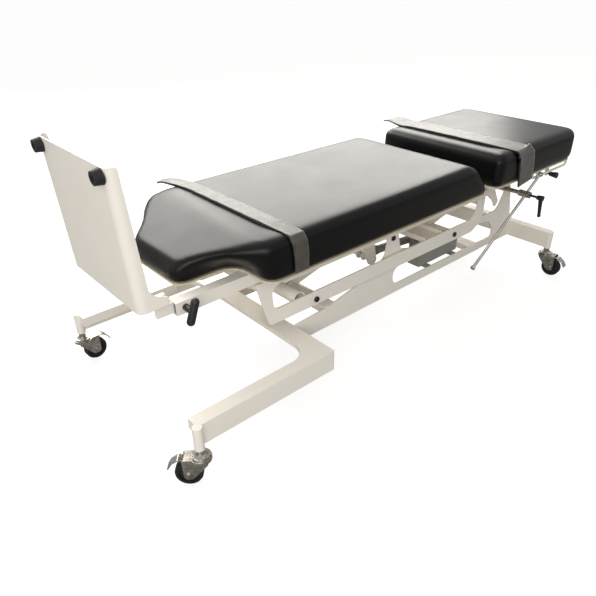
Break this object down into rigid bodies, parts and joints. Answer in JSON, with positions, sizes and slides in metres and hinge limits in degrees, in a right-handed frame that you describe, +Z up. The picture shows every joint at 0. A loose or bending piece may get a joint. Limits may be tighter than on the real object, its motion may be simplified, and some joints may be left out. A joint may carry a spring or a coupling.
{
  "type": "hi-lo tilt table",
  "caption": "Padded table on braked casters: parallel-arm lift, top tilts 85 degrees foot down, head section lifts on a clamped stay, foot board slides out.",
  "frame": {"origin": "centre of the bounding box in X and Y, on the floor", "axes": "+X to the head end, +Y to the far side, +Z up"},
  "size_m": [2.1852, 0.9566, 0.8655],
  "materials": {
    "powder_coat": "satin",
    "black_vinyl": "gloss",
    "webbing": "satin",
    "plywood": "satin",
    "zinc": "satin",
    "chrome": "polished",
    "black_rubber": "matte",
    "black_plastic": "satin",
    "grey_plastic": "satin",
    "blue_plastic": "satin"
  },
  "bodies": {
    "base": {"base_foot_frame": "powder_coat", "base_side_plate_near": "powder_coat", "base_side_plate_far": "powder_coat", "base_head_beam": "powder_coat", "caster_posts": "powder_coat", "caster_stems": "zinc", "base_cross_bars": "powder_coat", "base_pivot_tubes": "powder_coat", "base_pivot_bolts": "black_plastic", "control_box": "grey_plastic"},
    "caster_near_foot": {"caster_fork_near_foot": "zinc"},
    "wheel_near_foot": {"caster_wheel_near_foot": "black_rubber"},
    "brake_near_foot": {"caster_pedal_near_foot": "zinc"},
    "caster_far_foot": {"caster_fork_far_foot": "zinc"},
    "wheel_far_foot": {"caster_wheel_far_foot": "black_rubber"},
    "brake_far_foot": {"caster_pedal_far_foot": "zinc"},
    "caster_near_head": {"caster_fork_near_head": "zinc"},
    "wheel_near_head": {"caster_wheel_near_head": "black_rubber"},
    "brake_near_head": {"caster_pedal_near_head": "zinc"},
    "caster_far_head": {"caster_fork_far_head": "zinc"},
    "wheel_far_head": {"caster_wheel_far_head": "black_rubber"},
    "brake_far_head": {"caster_pedal_far_head": "zinc"},
    "foot_arm": {"foot_swing_arm": "powder_coat"},
    "head_arm": {"head_swing_arm": "powder_coat"},
    "lift_frame": {"lift_side_plate_near": "powder_coat", "lift_side_plate_far": "powder_coat", "lift_pivot_tubes": "powder_coat", "lift_pivot_bolts": "black_plastic", "lift_cross_tube": "powder_coat", "lift_cross_bars": "powder_coat", "tilt_rest_buffers": "black_rubber", "tilt_hinge_lugs": "powder_coat"},
    "lift_motor": {"lift_drive_motor": "grey_plastic"},
    "lift_rod": {"lift_drive_rod": "chrome"},
    "tilt_frame": {"side_rails": "powder_coat", "tilt_side_plates": "powder_coat", "tilt_cross_bars": "powder_coat", "rail_liners": "blue_plastic", "stay_brackets": "powder_coat", "stay_shaft": "zinc", "body_board": "plywood", "body_cushion": "black_vinyl", "body_strap": "webbing", "head_hinge_bracket": "powder_coat"},
    "tilt_motor": {"tilt_drive_motor": "grey_plastic"},
    "tilt_rod": {"tilt_drive_rod": "chrome"},
    "foot_board": {"foot_board_panel": "powder_coat", "foot_board_sliders": "powder_coat", "foot_board_bumpers": "black_rubber"},
    "clamp_near": {"clamp_handle_near": "black_plastic"},
    "clamp_far": {"clamp_handle_far": "black_plastic"},
    "head_section": {"head_frame": "powder_coat", "head_board": "plywood", "head_cushion": "black_vinyl", "head_strap": "webbing", "head_side_rails": "powder_coat"},
    "head_knob": {"head_lock_knob": "black_plastic"},
    "stay_clamp": {"stay_block": "zinc"},
    "stay_slide": {"stay_rod": "chrome"},
    "stay_handle": {"stay_lever": "black_plastic"}
  },
  "joints": [
    {"name": "swivel_near_foot", "type": "hinge", "parent": "base", "child": "caster_near_foot", "pos_m": [-1.01239, -0.3825, 0.1], "axis": [0, 0, 1], "continuous": true},
    {"name": "wheel_turn_near_foot", "type": "hinge", "parent": "caster_near_foot", "child": "wheel_near_foot", "pos_m": [-1.03956, -0.35888, 0.04], "axis": [-0.6561, -0.7547, 0], "continuous": true},
    {"name": "brake_press_near_foot", "type": "hinge", "parent": "caster_near_foot", "child": "brake_near_foot", "pos_m": [-1.03654, -0.36151, 0.087], "axis": [-0.6561, -0.7547, 0], "range_deg": [0, 12]},
    {"name": "swivel_far_foot", "type": "hinge", "parent": "base", "child": "caster_far_foot", "pos_m": [-1.01239, 0.3825, 0.1], "axis": [0, 0, 1], "continuous": true},
    {"name": "wheel_turn_far_foot", "type": "hinge", "parent": "caster_far_foot", "child": "wheel_far_foot", "pos_m": [-0.97644, 0.38438, 0.04], "axis": [-0.0523, 0.9986, 0], "continuous": true},
    {"name": "brake_press_far_foot", "type": "hinge", "parent": "caster_far_foot", "child": "brake_far_foot", "pos_m": [-0.98043, 0.38417, 0.087], "axis": [-0.0523, 0.9986, 0], "range_deg": [0, 12]},
    {"name": "swivel_near_head", "type": "hinge", "parent": "base", "child": "caster_near_head", "pos_m": [0.83761, -0.3825, 0.1], "axis": [0, 0, 1], "continuous": true},
    {"name": "wheel_turn_near_head", "type": "hinge", "parent": "caster_near_head", "child": "wheel_near_head", "pos_m": [0.84075, -0.41836, 0.04], "axis": [0.9962, 0.0872, 0], "continuous": true},
    {"name": "brake_press_near_head", "type": "hinge", "parent": "caster_near_head", "child": "brake_near_head", "pos_m": [0.8404, -0.41438, 0.087], "axis": [0.9962, 0.0872, 0], "range_deg": [0, 12]},
    {"name": "swivel_far_head", "type": "hinge", "parent": "base", "child": "caster_far_head", "pos_m": [0.83761, 0.3825, 0.1], "axis": [0, 0, 1], "continuous": true},
    {"name": "wheel_turn_far_head", "type": "hinge", "parent": "caster_far_head", "child": "wheel_far_head", "pos_m": [0.84075, 0.41836, 0.04], "axis": [-0.9962, 0.0872, 0], "continuous": true},
    {"name": "brake_press_far_head", "type": "hinge", "parent": "caster_far_head", "child": "brake_far_head", "pos_m": [0.8404, 0.41438, 0.087], "axis": [-0.9962, 0.0872, 0], "range_deg": [0, 12]},
    {"name": "lift", "type": "hinge", "parent": "base", "child": "foot_arm", "pos_m": [-0.01889, 0, 0.37], "axis": [0, 1, 0], "range_deg": [0, 60]},
    {"name": "head_arm_turn", "type": "hinge", "parent": "base", "child": "head_arm", "pos_m": [0.75311, 0, 0.37], "axis": [0, 1, 0], "range_deg": [0, 60]},
    {"name": "frame_level", "type": "hinge", "parent": "foot_arm", "child": "lift_frame", "pos_m": [-0.41739, 0, 0.276], "axis": [0, 1, 0], "range_deg": [-60, 0]},
    {"name": "lift_motor_turn", "type": "hinge", "parent": "base", "child": "lift_motor", "pos_m": [0.53261, 0, 0.178], "axis": [0, 1, 0], "range_deg": [0, 2.1]},
    {"name": "lift_rod_slide", "type": "slide", "parent": "lift_motor", "child": "lift_rod", "axis": [-0.9966, 0, 0.0825], "range_m": [0, 0.15497]},
    {"name": "tilt", "type": "hinge", "parent": "lift_frame", "child": "tilt_frame", "pos_m": [-0.68739, 0, 0.44], "axis": [0, -1, 0], "range_deg": [0, 85]},
    {"name": "tilt_motor_turn", "type": "hinge", "parent": "lift_frame", "child": "tilt_motor", "pos_m": [-0.47239, 0, 0.362], "axis": [0, -1, 0], "range_deg": [0, 92.46]},
    {"name": "tilt_rod_slide", "type": "slide", "parent": "tilt_motor", "child": "tilt_rod", "axis": [0.9914, 0, 0.1309], "range_m": [0, 0.29732]},
    {"name": "foot_board_slide", "type": "slide", "parent": "tilt_frame", "child": "foot_board", "axis": [-1, 0, 0], "range_m": [0, 0.12]},
    {"name": "clamp_turn_near", "type": "hinge", "parent": "tilt_frame", "child": "clamp_near", "pos_m": [-0.90139, -0.198, 0.442], "axis": [0, -1, 0], "range_deg": [0, 180]},
    {"name": "clamp_turn_far", "type": "hinge", "parent": "tilt_frame", "child": "clamp_far", "pos_m": [-0.90139, 0.198, 0.442], "axis": [0, -1, 0], "range_deg": [0, 180]},
    {"name": "head_tilt", "type": "hinge", "parent": "tilt_frame", "child": "head_section", "pos_m": [0.44261, 0, 0.446], "axis": [0, -1, 0], "range_deg": [0, 40]},
    {"name": "stay_clamp_turn", "type": "hinge", "parent": "tilt_frame", "child": "stay_clamp", "pos_m": [0.70761, 0, 0.385], "axis": [0, -1, 0], "range_deg": [0, 53.5]},
    {"name": "stay_rod_slide", "type": "slide", "parent": "stay_clamp", "child": "stay_slide", "axis": [0.8151, 0, 0.5793], "range_m": [0, 0.18112]},
    {"name": "stay_lever_turn", "type": "hinge", "parent": "stay_clamp", "child": "stay_handle", "pos_m": [0.70761, -0.3, 0.385], "axis": [0, -1, 0], "range_deg": [0, 90]},
    {"name": "head_knob_turn", "type": "hinge", "parent": "head_section", "child": "head_knob", "pos_m": [0.95161, -0.282, 0.412], "axis": [0, -1, 0], "range_deg": [0, 180]}
  ],
  "couplings": [
    {"joint": "head_arm_turn", "follows": "lift", "ratio": 1},
    {"joint": "frame_level", "follows": "lift", "ratio": -1},
    {"joint": "lift_motor_turn", "follows": "lift", "ratio": 0.034864},
    {"joint": "lift_rod_slide", "follows": "lift", "m_per_rad": 0.14789},
    {"joint": "tilt_motor_turn", "follows": "tilt", "ratio": 1.0876},
    {"joint": "tilt_rod_slide", "follows": "tilt", "m_per_rad": 0.20034},
    {"joint": "stay_clamp_turn", "follows": "head_tilt", "ratio": 1.3373},
    {"joint": "stay_rod_slide", "follows": "head_tilt", "m_per_rad": 0.25929}
  ]
}
